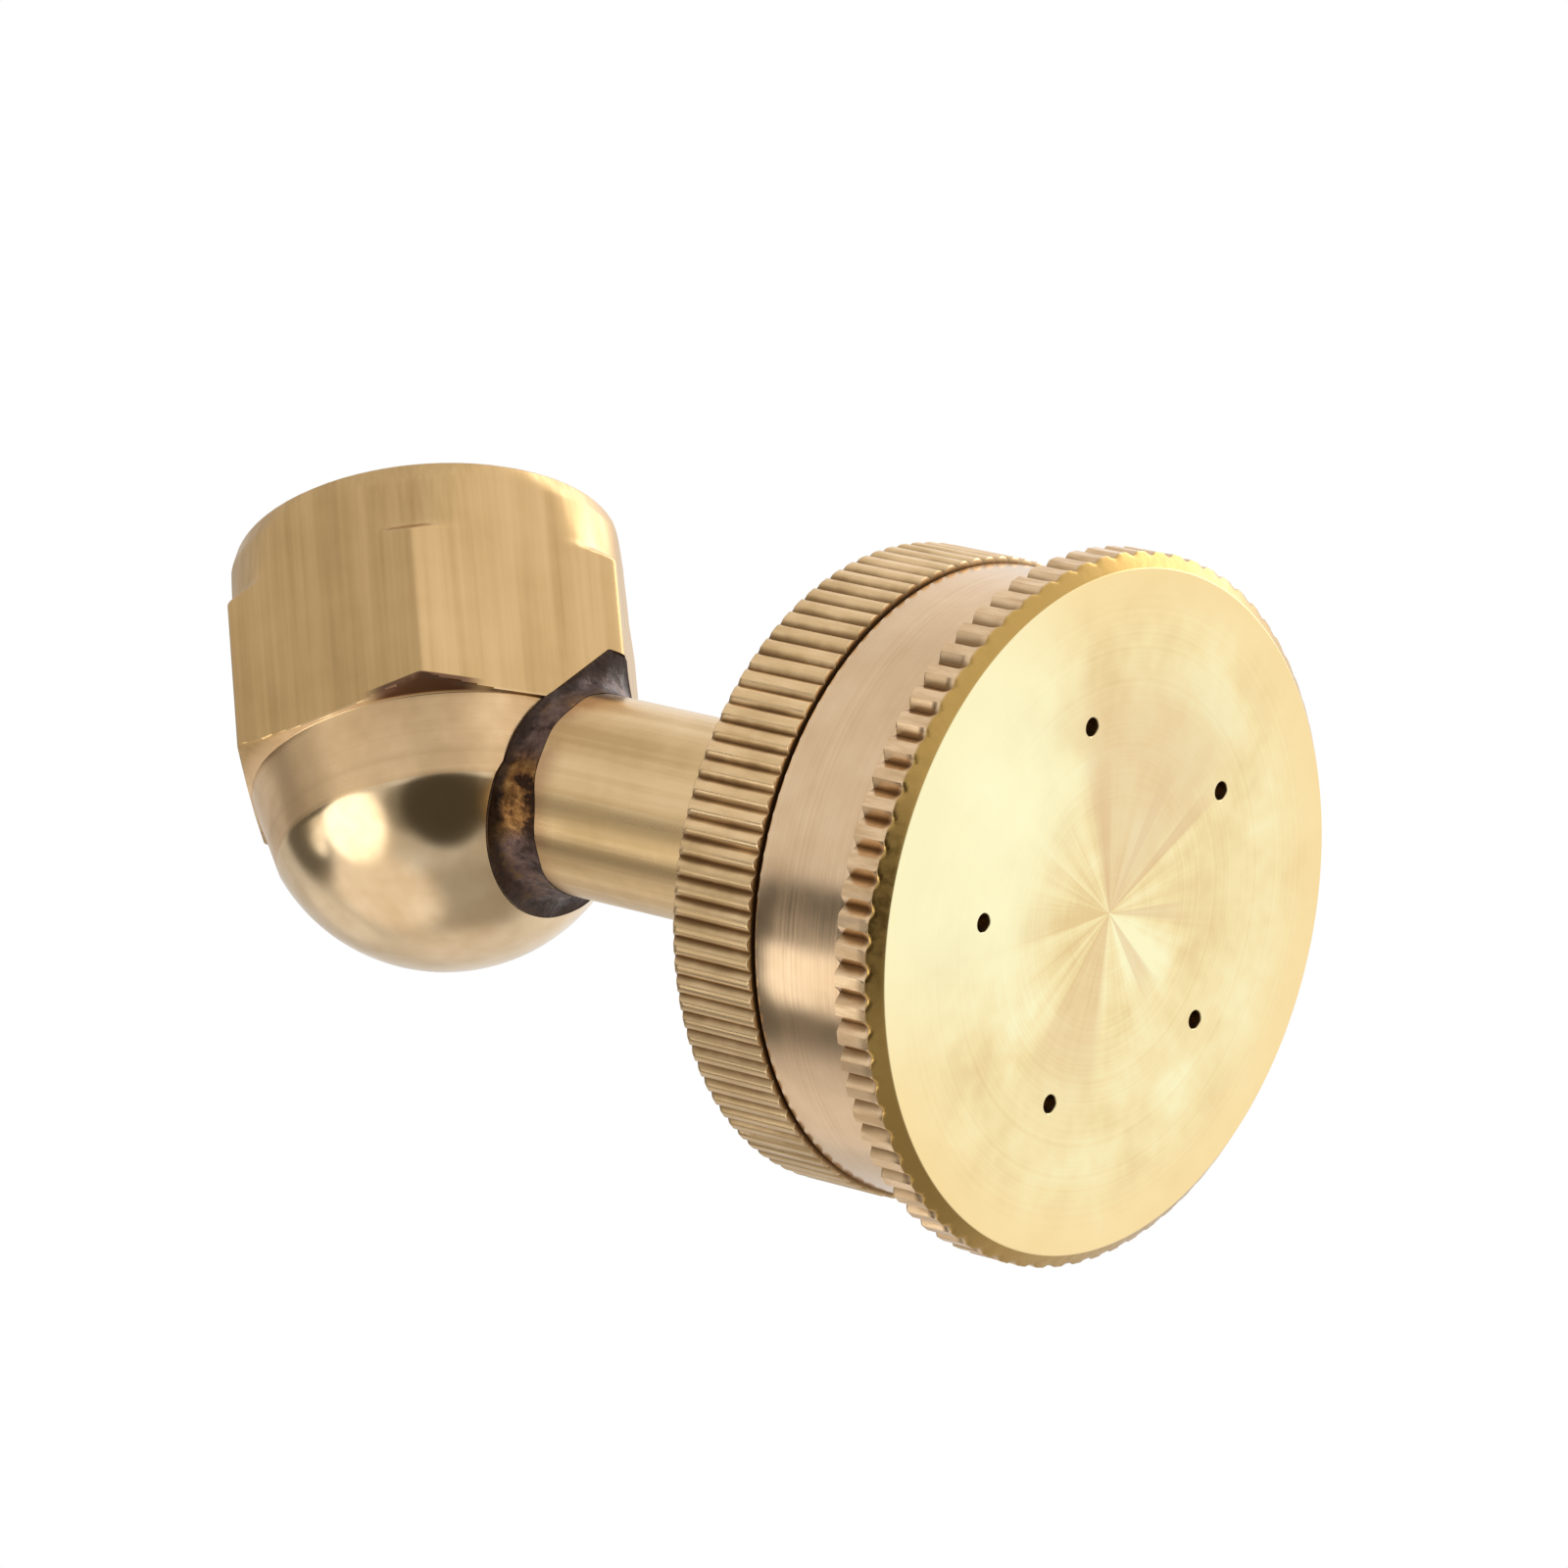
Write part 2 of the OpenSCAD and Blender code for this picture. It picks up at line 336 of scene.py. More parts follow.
def calc(m, operation, a, b=0.0):
    """One arithmetic step on numbers or sockets."""
    node = m.node_tree.nodes.new("ShaderNodeMath")
    node.operation = operation
    feed(m, node.inputs[0], a)
    feed(m, node.inputs[1], b)
    return node.outputs[0]


def weighted(m, *parts):
    """The sum of (value, weight) parts."""
    total = None
    for value, weight in parts:
        term = calc(m, "MULTIPLY", value, weight)
        total = term if total is None else calc(m, "ADD", total, term)
    return total


def both(m, a, b):
    """The part two masks share."""
    return calc(m, "MULTIPLY", a, b)


def ragged(m, value, cloud, swing):
    """A distance that wanders with a cloud by half of swing either way, for uneven edges."""
    return calc(m, "ADD", value, calc(m, "MULTIPLY", calc(m, "SUBTRACT", cloud, 0.5), swing))


def remap(m, x, low, high, to_low=0.0, to_high=1.0):
    """A smooth step from to_low at low to to_high at high."""
    node = m.node_tree.nodes.new("ShaderNodeMapRange")
    node.interpolation_type = "SMOOTHSTEP"
    for socket, value in zip(node.inputs, (x, low, high, to_low, to_high)):
        feed(m, socket, value)
    return node.outputs["Result"]


def blend(m, fac, a, b):
    """Colour a where fac is 0 and colour b where it is 1."""
    node = m.node_tree.nodes.new("ShaderNodeMix")
    node.data_type = "RGBA"
    feed(m, node.inputs["Factor"], fac)
    for socket, value in zip((node.inputs[6], node.inputs[7]), (a, b)):
        feed(m, socket, value if isinstance(value, bpy.types.NodeSocket) else (*value, 1))
    return node.outputs[2]


def pick(m, fac, a, b):
    """Number a where fac is 0 and number b where it is 1."""
    node = m.node_tree.nodes.new("ShaderNodeMix")
    node.data_type = "FLOAT"
    feed(m, node.inputs["Factor"], fac)
    feed(m, node.inputs[2], a)
    feed(m, node.inputs[3], b)
    return node.outputs[0]


def ramp(m, fac, stops):
    """A colour ramp from (position, colour) stops."""
    node = m.node_tree.nodes.new("ShaderNodeValToRGB")
    elements = node.color_ramp.elements
    while len(elements) < len(stops):
        elements.new(0.5)
    for element, (position, colour) in zip(elements, stops):
        element.position = position
        element.color = (*colour, 1)
    feed(m, node.inputs["Fac"], fac)
    return node.outputs["Color"]


def noise(m, vector, scale, detail, roughness):
    """Noise with scale in cycles a metre."""
    node = m.node_tree.nodes.new("ShaderNodeTexNoise")
    node.inputs["Scale"].default_value = scale
    node.inputs["Detail"].default_value = detail
    node.inputs["Roughness"].default_value = roughness
    feed(m, node.inputs["Vector"], vector)
    return node.outputs["Fac"]


def stretch(m, vector, scale):
    """A vector scaled along each axis; noise is drawn out along an axis with a small scale."""
    node = m.node_tree.nodes.new("ShaderNodeMapping")
    node.inputs["Scale"].default_value = scale
    feed(m, node.inputs["Vector"], vector)
    return node.outputs["Vector"]


def inlet_coord(m):
    """Position in the row frame: Z along the inlet axis."""
    return m.node_tree.nodes.new("ShaderNodeTexCoord").outputs["Object"]


def spray_coord(m):
    """Position with the bend as origin and Z along the spray axis."""
    node = m.node_tree.nodes.new("ShaderNodeMapping")
    node.vector_type = "TEXTURE"
    node.inputs["Location"].default_value = BEND * MM
    node.inputs["Rotation"].default_value = (math.atan2(-SPRAY.y, SPRAY.z), 0, 0)
    feed(m, node.inputs["Vector"], inlet_coord(m))
    return node.outputs["Vector"]


def cylindrical(m, vector):
    """Radius, height and a vector round the axis: direction from the axis, with the height as Z."""
    split = m.node_tree.nodes.new("ShaderNodeSeparateXYZ")
    feed(m, split.inputs[0], vector)
    x, y, z = split.outputs
    r = calc(m, "SQRT", calc(m, "ADD", calc(m, "MULTIPLY", x, x), calc(m, "MULTIPLY", y, y)))
    safe = calc(m, "MAXIMUM", r, 1e-6)
    around = m.node_tree.nodes.new("ShaderNodeCombineXYZ")
    feed(m, around.inputs[0], calc(m, "DIVIDE", x, safe))
    feed(m, around.inputs[1], calc(m, "DIVIDE", y, safe))
    feed(m, around.inputs[2], z)
    return r, z, around.outputs[0]


def toward(m, around, degrees):
    """How far a direction round the axis points at an angle: 1 straight at it, 0 square to it."""
    split = m.node_tree.nodes.new("ShaderNodeSeparateXYZ")
    feed(m, split.inputs[0], around)
    a = math.radians(degrees)
    return weighted(m, (split.outputs[0], math.cos(a)), (split.outputs[1], math.sin(a)))


def line_vector(m, value):
    """A vector along Z, for noise that changes with one value only."""
    node = m.node_tree.nodes.new("ShaderNodeCombineXYZ")
    feed(m, node.inputs[2], value)
    return node.outputs[0]


def finish(m, colour, roughness, height, strength, distance=0.00002):
    """Wires colour, roughness and relief into the shader."""
    shader = m.node_tree.nodes["Principled BSDF"]
    feed(m, shader.inputs["Base Color"], colour)
    feed(m, shader.inputs["Roughness"], roughness)
    relief = m.node_tree.nodes.new("ShaderNodeBump")
    relief.inputs["Strength"].default_value = strength
    relief.inputs["Distance"].default_value = distance
    feed(m, relief.inputs["Height"], height)
    feed(m, shader.inputs["Normal"], relief.outputs["Normal"])
    return m


def elbow_material():
    """Drawn hexagon with lengthwise streaks, turned neck, polished dome and dull bores."""
    m = new_material("elbow_brass", 0.3)
    at = inlet_coord(m)
    r, z, around = cylindrical(m, at)
    drawn = noise(m, stretch(m, at, (1, 1, 0.025)), 620, 3.0, 0.6)
    hair = noise(m, stretch(m, at, (1, 1, 0.02)), 2600, 2.0, 0.5)
    cloud = noise(m, at, 190, 3.0, 0.6)
    lathe_mark = noise(m, line_vector(m, z), 5200, 2.0, 0.6)
    neck = remap(m, z, (NECK_Z + 0.35) * MM, NECK_Z * MM)
    dome = remap(m, z, (DOME_EDGE_Z + 0.05) * MM, (DOME_EDGE_Z - 0.1) * MM)
    bore = both(m, remap(m, r, (HEX_FLAT - 0.9) * MM, (HEX_FLAT - 1.2) * MM),
                remap(m, z, (DOME_EDGE_Z + 1) * MM, (DOME_EDGE_Z + 2) * MM))
    streak = weighted(m, (drawn, 0.55), (hair, 0.2), (cloud, 0.25))
    hexagon_colour = ramp(m, streak, ((0.36, (0.47, 0.305, 0.135)),
                                      (0.5, (0.56, 0.37, 0.17)),
                                      (0.64, (0.63, 0.425, 0.21))))
    turned = weighted(m, (lathe_mark, 0.15), (cloud, 0.85))
    neck_colour = ramp(m, turned, ((0.36, (0.68, 0.455, 0.24)), (0.62, (0.83, 0.58, 0.33))))
    dome_colour = ramp(m, cloud, ((0.36, (0.72, 0.52, 0.30)), (0.62, (0.84, 0.65, 0.42))))
    colour = blend(m, neck, hexagon_colour, neck_colour)
    colour = blend(m, dome, colour, dome_colour)
    # A darker patch of colour on the chamfer under the corner of the hexagon that faces the camera
    chamfer = both(m, remap(m, r, (NECK_R + 0.05) * MM, (NECK_R + 0.25) * MM),
                   remap(m, z, (NECK_Z + 0.72) * MM, (NECK_Z + 0.6) * MM))
    dark_chamfer_patch = both(m, chamfer, remap(m, toward(m, around, 210), 0.950, 0.985))
    colour = blend(m, dark_chamfer_patch, colour, DARK_CHAMFER_COLOUR)
    colour = blend(m, bore, colour, ELBOW_BORE)
    rough = remap(m, streak, 0.35, 0.65, 0.40, 0.28)
    rough = pick(m, neck, rough, remap(m, turned, 0.35, 0.65, 0.34, 0.24))
    rough = pick(m, dome, rough, remap(m, cloud, 0.35, 0.65, 0.21, 0.15))
    rough = pick(m, bore, rough, 0.45)
    relief = pick(m, neck, weighted(m, (drawn, 1), (hair, 0.5)), weighted(m, (lathe_mark, 0.3)))
    relief = pick(m, dome, relief, weighted(m, (cloud, 0.4)))
    return finish(m, colour, rough, relief, 0.22)


def tube_material():
    """Drawn tube: soft streaks along its length, fine hairlines and a heat tint next to the braze."""
    m = new_material("tube_brass", 0.25)
    at = spray_coord(m)
    _, z, _ = cylindrical(m, at)
    wide = noise(m, stretch(m, at, (1, 1, 0.03)), 420, 2.0, 0.5)
    hair = noise(m, stretch(m, at, (1, 1, 0.02)), 2400, 3.0, 0.6)
    cloud = noise(m, at, 260, 3.0, 0.6)
    tone = weighted(m, (wide, 0.5), (hair, 0.25), (cloud, 0.25))
    colour = ramp(m, tone, ((0.38, (0.62, 0.42, 0.20)),
                            (0.5, (0.75, 0.525, 0.27)),
                            (0.62, (0.86, 0.62, 0.35))))
    heat = both(m, remap(m, z, (FILLET_END_S + 2.2) * MM, (FILLET_END_S + 0.2) * MM),
                remap(m, cloud, 0.4, 0.6, 0.25, 0.8))
    colour = blend(m, heat, colour, HEAT_TINT)
    rough = remap(m, tone, 0.36, 0.64, 0.32, 0.23)
    return finish(m, colour, rough, weighted(m, (wide, 1), (hair, 1)), 0.2)


def knurl_material(name, groove_r, tip_r, tip_dark, tip_light, groove_shade_colour):
    """Knurled brass: bright lands with burnished scratches, darker towards one side, grooves darkened with painted
    shade, turned faces.
    """
    m = new_material(name, 0.28)
    at = spray_coord(m)
    r, _, around = cylindrical(m, at)
    scratch = noise(m, stretch(m, at, (1, 1, 0.15)), 1800, 3.0, 0.6)
    cloud = noise(m, at, 240, 3.0, 0.6)
    tone = weighted(m, (scratch, 0.5), (cloud, 0.5))
    lands = ramp(m, tone, ((0.38, tip_dark), (0.62, tip_light)))
    # The lands turn darker towards one side, round 250 degrees about the spray axis
    low_side = remap(m, toward(m, around, 250), 0.45, 0.95, 0.0, 0.45)
    lands = blend(m, low_side, lands, LOW_SIDE_DARKER)
    turn_mark = noise(m, line_vector(m, r), 3200, 3.0, 0.6)
    turned = weighted(m, (turn_mark, 0.5), (cloud, 0.5))
    faced = ramp(m, turned, ((0.38, (0.64, 0.46, 0.235)), (0.62, (0.82, 0.61, 0.34))))
    toothed = remap(m, r, (groove_r - 0.55) * MM, (groove_r - 0.3) * MM)
    # Painted shade: the groove bottoms are darkened in colour
    shaded_groove = both(m, toothed, remap(m, ragged(m, r, cloud, 0.0004), tip_r * MM, groove_r * MM))
    colour = blend(m, toothed, faced, lands)
    colour = blend(m, shaded_groove, colour, groove_shade_colour)
    rough = pick(m, shaded_groove, remap(m, tone, 0.36, 0.64, 0.36, 0.24), 0.5)
    return finish(m, colour, rough, pick(m, toothed, turn_mark, scratch), 0.25)


# Wedges of painted shade on the faced front, standing in for the duller parts of its reflection: (centre and half
# angle in degrees, reach in mm, strength)
PAINTED_FACE_SHADE_WEDGES = ((98, 44, 18, 0.55), (60, 4, 13, 0.6), (84, 5, 12, 0.4), (128, 8, 12, 0.35),
               (-85, 22, 14, 0.4), (20, 6, 9, 0.5), (-24, 8, 8, 0.5))


def face_tone_and_painted_reflection(m, r, around, cloud, groove_mark):
    """Tone and colour of the faced front: a painted star of reflection streaks, a painted highlight at one side,
    and wedges of painted shade.
    """
    # Painted reflection: radial streaks stand in for the highlight of the turned face
    wide_ray = noise(m, stretch(m, around, (1, 1, 0)), 1.5, 2.0, 0.5)
    ray = noise(m, stretch(m, around, (1, 1, 0)), 7.0, 3.0, 0.6)
    near = remap(m, r, 0.001, 0.012, 1.0, 0.12)
    painted_star_streaks = both(m, calc(m, "SUBTRACT", weighted(m, (wide_ray, 0.6), (ray, 0.4)), 0.5), near)
    tone = weighted(m, (painted_star_streaks, 1.9), (cloud, 0.75), (groove_mark, 0.25))
    colour = ramp(m, tone, ((0.3, (0.76, 0.57, 0.28)),
                            (0.5, (0.86, 0.72, 0.39)),
                            (0.7, (0.90, 0.85, 0.53))))
    colour = blend(m, remap(m, r, 0.015, 0.022), colour, FACE_OUTER)
    # A painted highlight on one side, near the centre
    pale = both(m, remap(m, toward(m, around, 180), 0.55, 0.98), remap(m, r, 0.004, 0.011, 0.0, 0.75))
    colour = blend(m, pale, colour, PAINTED_FACE_HIGHLIGHT)
    # Wedges of painted shade
    for centre, half, reach, strength in PAINTED_FACE_SHADE_WEDGES:
        edge, core = math.cos(math.radians(half)), math.cos(math.radians(0.6 * half))
        mask = both(m, remap(m, toward(m, around, centre), edge, core, 0.0, strength),
                    remap(m, r, reach * MM, 0.55 * reach * MM))
        colour = blend(m, mask, colour, PAINTED_FACE_SHADE)
    return tone, colour


def cap_material():
    """Turned cap: faced front with painted reflection, satin band, toothed rim whose grooves and edge band are
    darkened with painted shade, dull inside and orifices.
    """
    m = new_material("cap_brass", 0.25)
    at = spray_coord(m)
    r, z, around = cylindrical(m, at)
    cloud = noise(m, at, 170, 3.0, 0.6)
    groove_mark = noise(m, line_vector(m, r), 3600, 2.0, 0.6)
    face_tone, face_colour = face_tone_and_painted_reflection(m, r, around, cloud, groove_mark)
    turn_mark = noise(m, line_vector(m, z), 3000, 2.0, 0.6)
    band_tone = weighted(m, (turn_mark, 0.4), (cloud, 0.6))
    band_colour = ramp(m, band_tone, ((0.36, (0.74, 0.51, 0.31)), (0.62, (0.86, 0.63, 0.41))))
    rim_tone = noise(m, stretch(m, at, (1, 1, 0.2)), 1600, 3.0, 0.6)
    rim_colour = ramp(m, rim_tone, ((0.36, (0.70, 0.48, 0.27)), (0.62, (0.90, 0.65, 0.41))))
    # Painted shade: the bottoms of the flange's grooves are darkened in colour
    reach = ragged(m, r, cloud, 0.0005)
    shaded_groove = both(m, remap(m, reach, (FLANGE_R - 0.15) * MM, (FLANGE_R - 0.6) * MM),
                  remap(m, r, (FLANGE_R - 0.95) * MM, (FLANGE_R - 0.75) * MM))
    rim_colour = blend(m, shaded_groove, rim_colour, FLANGE_GROOVE_SHADE)
    # Painted shade: the edge band between the teeth and the face is darkened in colour, standing in for its dark
    # reflection
    edge = remap(m, z, (FACE_S - EDGE_T - 0.1) * MM, (FACE_S - EDGE_T + 0.1) * MM)
    rim_colour = blend(m, edge, rim_colour, FLANGE_EDGE_SHADE)
    front_rim = both(m, remap(m, r, (BAND_R + 0.1) * MM, (BAND_R + 0.2) * MM),
                     remap(m, z, (FLANGE_S - 0.2) * MM, (FLANGE_S - 0.1) * MM))
    inside = remap(m, r, (SPIGOT_R + 0.6) * MM, (SPIGOT_R + 0.2) * MM)
    face = remap(m, z, (FACE_S - 0.06) * MM, (FACE_S - 0.01) * MM)
    colour = blend(m, front_rim, band_colour, rim_colour)
    colour = blend(m, inside, colour, CAP_INSIDE)
    colour = blend(m, face, colour, face_colour)
    rough = pick(m, front_rim, remap(m, band_tone, 0.36, 0.64, 0.22, 0.16),
                 remap(m, rim_tone, 0.36, 0.64, 0.36, 0.26))
    rough = pick(m, inside, rough, 0.4)
    rough = pick(m, face, rough, remap(m, face_tone, 0.3, 0.7, 0.36, 0.28))
    relief = pick(m, front_rim, turn_mark, rim_tone)
    relief = pick(m, face, relief, groove_mark)
    return finish(m, colour, rough, relief, 0.15)


def braze_material():
    """Heat-tarnished braze: dark oxide, purple-grey scale, golden-brown runs, a painted shadow at its foot and
    small painted glints.
    """
    m = new_material("braze", 0.4, 0.85)
    at = spray_coord(m)
    _, z, around = cylindrical(m, at)
    blotch = noise(m, at, 330, 4.0, 0.65)
    grain = noise(m, at, 1700, 4.0, 0.7)
    tone = weighted(m, (blotch, 0.75), (grain, 0.25))
    # The lightest stop paints small glints into the colour: painted highlights
    colour = ramp(m, tone, ((0.36, (0.03, 0.015, 0.010)),
                            (0.46, (0.10, 0.062, 0.052)),
                            (0.54, (0.15, 0.095, 0.078)),
                            (0.61, (0.20, 0.11, 0.05)),
                            (0.72, (0.42, 0.30, 0.19))))
    gold = ramp(m, tone, ((0.44, (0.03, 0.012, 0.005)),
                          (0.50, (0.16, 0.07, 0.02)),
                          (0.62, (0.36, 0.19, 0.06))))
    colour = blend(m, remap(m, toward(m, around, 200), 0.88, 0.97), colour, gold)
    # Painted shadow: the braze's foot next to the spot face's wall is darkened in colour
    foot = remap(m, ragged(m, z, blotch, 0.0015), (SPOTFACE_S + 0.95) * MM, (SPOTFACE_S + 0.35) * MM)
    colour = blend(m, weighted(m, (foot, 0.85)), colour, BRAZE_FOOT_SHADOW)
    rough = remap(m, grain, 0.35, 0.65, 0.5, 0.26)
    return finish(m, colour, rough, tone, 0.8, 0.0002)


def two_tone(m, tone, dark, light, rough, mark, strength):
    """A finish whose colour and roughness both follow one tone."""
    colour = ramp(m, tone, ((0.36, dark), (0.64, light)))
    return finish(m, colour, remap(m, tone, 0.36, 0.64, *rough), mark, strength)


def plain_metal(name, dark, light, rough):
    """Machined metal seen only inside the part or in an exploded view."""
    m = new_material(name, sum(rough) / 2)
    at = spray_coord(m)
    mark = noise(m, stretch(m, at, (1, 1, 0.15)), 900, 3.0, 0.6)
    tone = weighted(m, (mark, 0.6), (noise(m, at, 300, 3.0, 0.6), 0.4))
    return two_tone(m, tone, dark, light, rough, mark, 0.2)


def pressed_sheet(name, dark, light, rough):
    """Fibre or rubber: fine grain over a faint mottle."""
    m = new_material(name, sum(rough) / 2, 0.0)
    at = inlet_coord(m)
    grain = noise(m, at, 2600, 4.0, 0.7)
    tone = weighted(m, (grain, 0.6), (noise(m, at, 420, 3.0, 0.6), 0.4))
    return two_tone(m, tone, dark, light, rough, grain, 0.6)


ELBOW_BRASS = elbow_material()
TUBE_BRASS = tube_material()
# The last colour is the painted shade in the grooves of the rim's knurl
HOUSING_BRASS = knurl_material("housing_brass", HOUSING_R - 0.4, HOUSING_R - 0.05, (0.74, 0.51, 0.26),
                               (0.92, 0.66, 0.38), (0.27, 0.16, 0.07))
CAP_BRASS = cap_material()
BRAZE = braze_material()
CORE_BRASS = plain_metal("core_brass", (0.60, 0.42, 0.19), (0.80, 0.60, 0.32), (0.34, 0.2))
STAINLESS = plain_metal("stainless", (0.47, 0.48, 0.49), (0.66, 0.67, 0.68), (0.36, 0.2))
FIBRE = pressed_sheet("fibre", (0.20, 0.02, 0.015), (0.36, 0.05, 0.03), (0.5, 0.7))
RUBBER = pressed_sheet("rubber_seal", (0.012, 0.012, 0.012), (0.03, 0.03, 0.03), (0.5, 0.7))

# ---- Elbow ----

# Degrees from a corner of the hexagon to the middle of a flat
CORNER_OFFSETS = (0, 0.4, 0.8, 1.3, 2.0, 3.0, 4.5, 7.0, 10.5, 15.0, 20.0, 25.0, 30.0)


def elbow_angles():
    """Column angles crowded at the six corners, one of which points along -Y."""
    out = []
    for corner in range(6):
        centre = 30 + 60 * corner
        out += [centre - o for o in CORNER_OFFSETS[:0:-1]]
        out += [centre + o for o in CORNER_OFFSETS[:-1]]
    return np.radians(np.array(out))


def soft_min(a, b, k):
    """The smaller of two lengths, with a round of size k where they cross."""
    h = np.clip(0.5 + 0.5 * (b - a) / k, 0, 1)
    return b * (1 - h) + a * h - k * h * (1 - h)


def hexagon(a):
    """Polar radius of the hexagon with rounded corners, flats towards +X and -X."""
    turned = np.mod(a + math.pi / 6, math.pi / 3) - math.pi / 6
    near = HEX_FLAT / np.cos(turned)
    far = HEX_FLAT / np.cos(np.abs(turned) - math.pi / 3)
    return soft_min(near, far, HEX_CORNER_ROUND)


def thread_shape(phase):
    """0 on a crest, 1 on a root, straight flanks with small rounds."""
    p = np.abs(np.mod(phase, 1.0) * 2 - 1)
    x = np.clip((p - 0.14) / 0.72, 0, 1)
    return x * x * (3 - 2 * x) * 0.5 + x * 0.5


def inlet_thread_rings(a):
    """The cut thread of the mouth, from its lead-in chamfer down to the end of full thread."""
    mouth_z = RIM_Z - MOUTH_CHAMFER
    rings = []
    for z in np.linspace(RIM_Z - 0.25, -THREAD_LEN, INLET_RINGS):
        if z >= RIM_Z - 0.3:
            continue
        thread = THREAD_R + INLET_DEPTH * thread_shape(z / INLET_PITCH - a / (2 * math.pi))
        lead = THREAD_R + max(0.0, z - mouth_z)
        rings.append(around_axis(np.maximum(thread, lead), z, a))
    return rings


def elbow_mesh():
    """The elbow before the spot face is cut: rings up the outside, then down the mouth and waterway."""
    a = elbow_angles()
    hexa = hexagon(a)
    rings = [pole(DOME_Z - DOME_R)]
    tilt_end = math.acos((DOME_Z - DOME_EDGE_Z) / DOME_R)
    for t in np.linspace(0, tilt_end, DOME_RINGS)[1:-1]:
        rings.append(around_axis(DOME_R * math.sin(t), DOME_Z - DOME_R * math.cos(t), a))
    neck = filleted([(DOME_EDGE_R, DOME_EDGE_Z, 0), (NECK_R, NECK_Z, 0.12),
                     (HEX_CORNER_R + 0.3, LOW_CORNER_Z + 0.3 * math.tan(LOW_CHAMFER), 0)])
    for p in divided(neck, 0.35):
        rings.append(around_axis(soft_min(p.x, hexa, 0.12), p.y, a))
    for z in np.linspace(LOW_CORNER_Z + 0.4, TOP_CORNER_Z - 0.2, 12):
        rings.append(around_axis(hexa, z, a))
    collar = filleted([(HEX_CORNER_R + 0.15, TOP_CORNER_Z - 0.1, 0), (COLLAR_R + 0.35, COLLAR_Z, 0.9),
                       (COLLAR_R, RIM_Z - 1.5, 1.5), (HEX_FLAT - 0.1, RIM_Z, 0.3),
                       (MOUTH_R, RIM_Z, 0.12), (THREAD_R, RIM_Z - MOUTH_CHAMFER, 0)], steps=5)
    for p in divided(collar, 0.2):
        rings.append(around_axis(soft_min(p.x, hexa, 0.3), p.y, a))
    rings += inlet_thread_rings(a)
    inside = filleted([(THREAD_R, -THREAD_LEN - 0.02, 0), (GROOVE_R, -THREAD_LEN - 0.3, 0.1),
                       (GROOVE_R, SEAT_Z, 0.2), (WATERWAY_R, SEAT_Z, 0.15),
                       (WATERWAY_R, WATERWAY_Z, 0.2), (0.8, WATERWAY_Z - 1.5, 0)])
    rings += [around_axis(p.x, p.y, a) for p in divided(inside[1:], 0.8)]
    rings.append(pole(WATERWAY_Z - 1.6))
    return skin("elbow_body_piece", rings)


def body_radius(a, z):
    """The elbow's outer radius at a polar angle and a height below the upper corners of the hexagon."""
    if z > NECK_Z:
        return min(float(hexagon(np.array(a))), NECK_R + (z - NECK_Z) / math.tan(LOW_CHAMFER))
    if z > DOME_EDGE_Z:
        return NECK_R + (NECK_Z - z) / (NECK_Z - DOME_EDGE_Z) * (DOME_EDGE_R - NECK_R)
    return math.sqrt(max(DOME_R**2 - (z - DOME_Z) ** 2, 0))


def spotface_outline(columns):
    """Radius round the spray axis at which the spot face runs out of the elbow, for each column."""
    out = []
    for a in angles(columns):
        low, high = 3.0, SPOTFACE_R
        for _ in range(24):
            r = (low + high) / 2
            p = SPRAY_FRAME_MM @ Vector((r * math.cos(a), r * math.sin(a), SPOTFACE_S))
            if math.hypot(p.x, p.y) < body_radius(math.atan2(p.y, p.x), p.z):
                low = r
            else:
                high = r
        out.append(low)
    return np.array(out)


def elbow():
    """The elbow with its outlet: waterway, socket for the tube and spot face, cut along the spray axis."""
    outlet_r = 5
    past_dome = 18
    tool = filleted([(0, 0, 0), (outlet_r, 0, 0), (outlet_r, TUBE_START_S, 0),
                     (TUBE_BORE_R, TUBE_START_S, 0), (TUBE_BORE_R, SPOTFACE_S, 0),
                     (SPOTFACE_R, SPOTFACE_S, 0.1), (SPOTFACE_R + 0.02, past_dome, 0), (0, past_dome, 0)])
    cutter = lathe("cutter", tool, columns=144, loop=False)
    cutter.transform(SPRAY_FRAME_MM)
    mesh = cut_away(elbow_mesh(), cutter)
    piece("elbow_body_piece", mesh, ELBOW_BRASS, "head", ["elbow_body"])


def elbow_braze():
    """Uneven concave braze that covers the spot face and climbs the tube."""
    columns = 240
    a = angles(columns)
    foot_r = np.maximum(spotface_outline(columns) - 0.04, BRAZE_BORE_R + 0.3)
    foot = SPOTFACE_S + 0.14 + 0.05 * np.sin(7 * a + 1) + 0.03 * np.sin(13 * a)
    top = FILLET_END_S + 0.4 * np.cos(2 * (a + 2.53)) + 0.10 * np.sin(5 * a + 2) + 0.06 * np.sin(11 * a)
    rings = [ring(BRAZE_BORE_R, SPOTFACE_S + 0.01, columns), ring(foot_r, SPOTFACE_S + 0.01, columns)]
    for t in np.linspace(0, math.pi / 2, 17):
        lump = 0.05 * math.sin(2 * t) * (np.sin(9 * a + 3 * t) + np.sin(17 * a - 4 * t))
        r = BRAZE_BORE_R + 0.01 + (foot_r - BRAZE_BORE_R) * (1 - math.sin(t)) + lump
        rings.append(ring(r, foot + (top - foot) * (1 - math.cos(t)), columns))
    mesh = skin("elbow_braze_piece", rings, loop=True)
    piece("elbow_braze_piece", mesh, BRAZE, "head", ["elbow_braze"], SPRAY_FRAME)


# ---- Stem ----


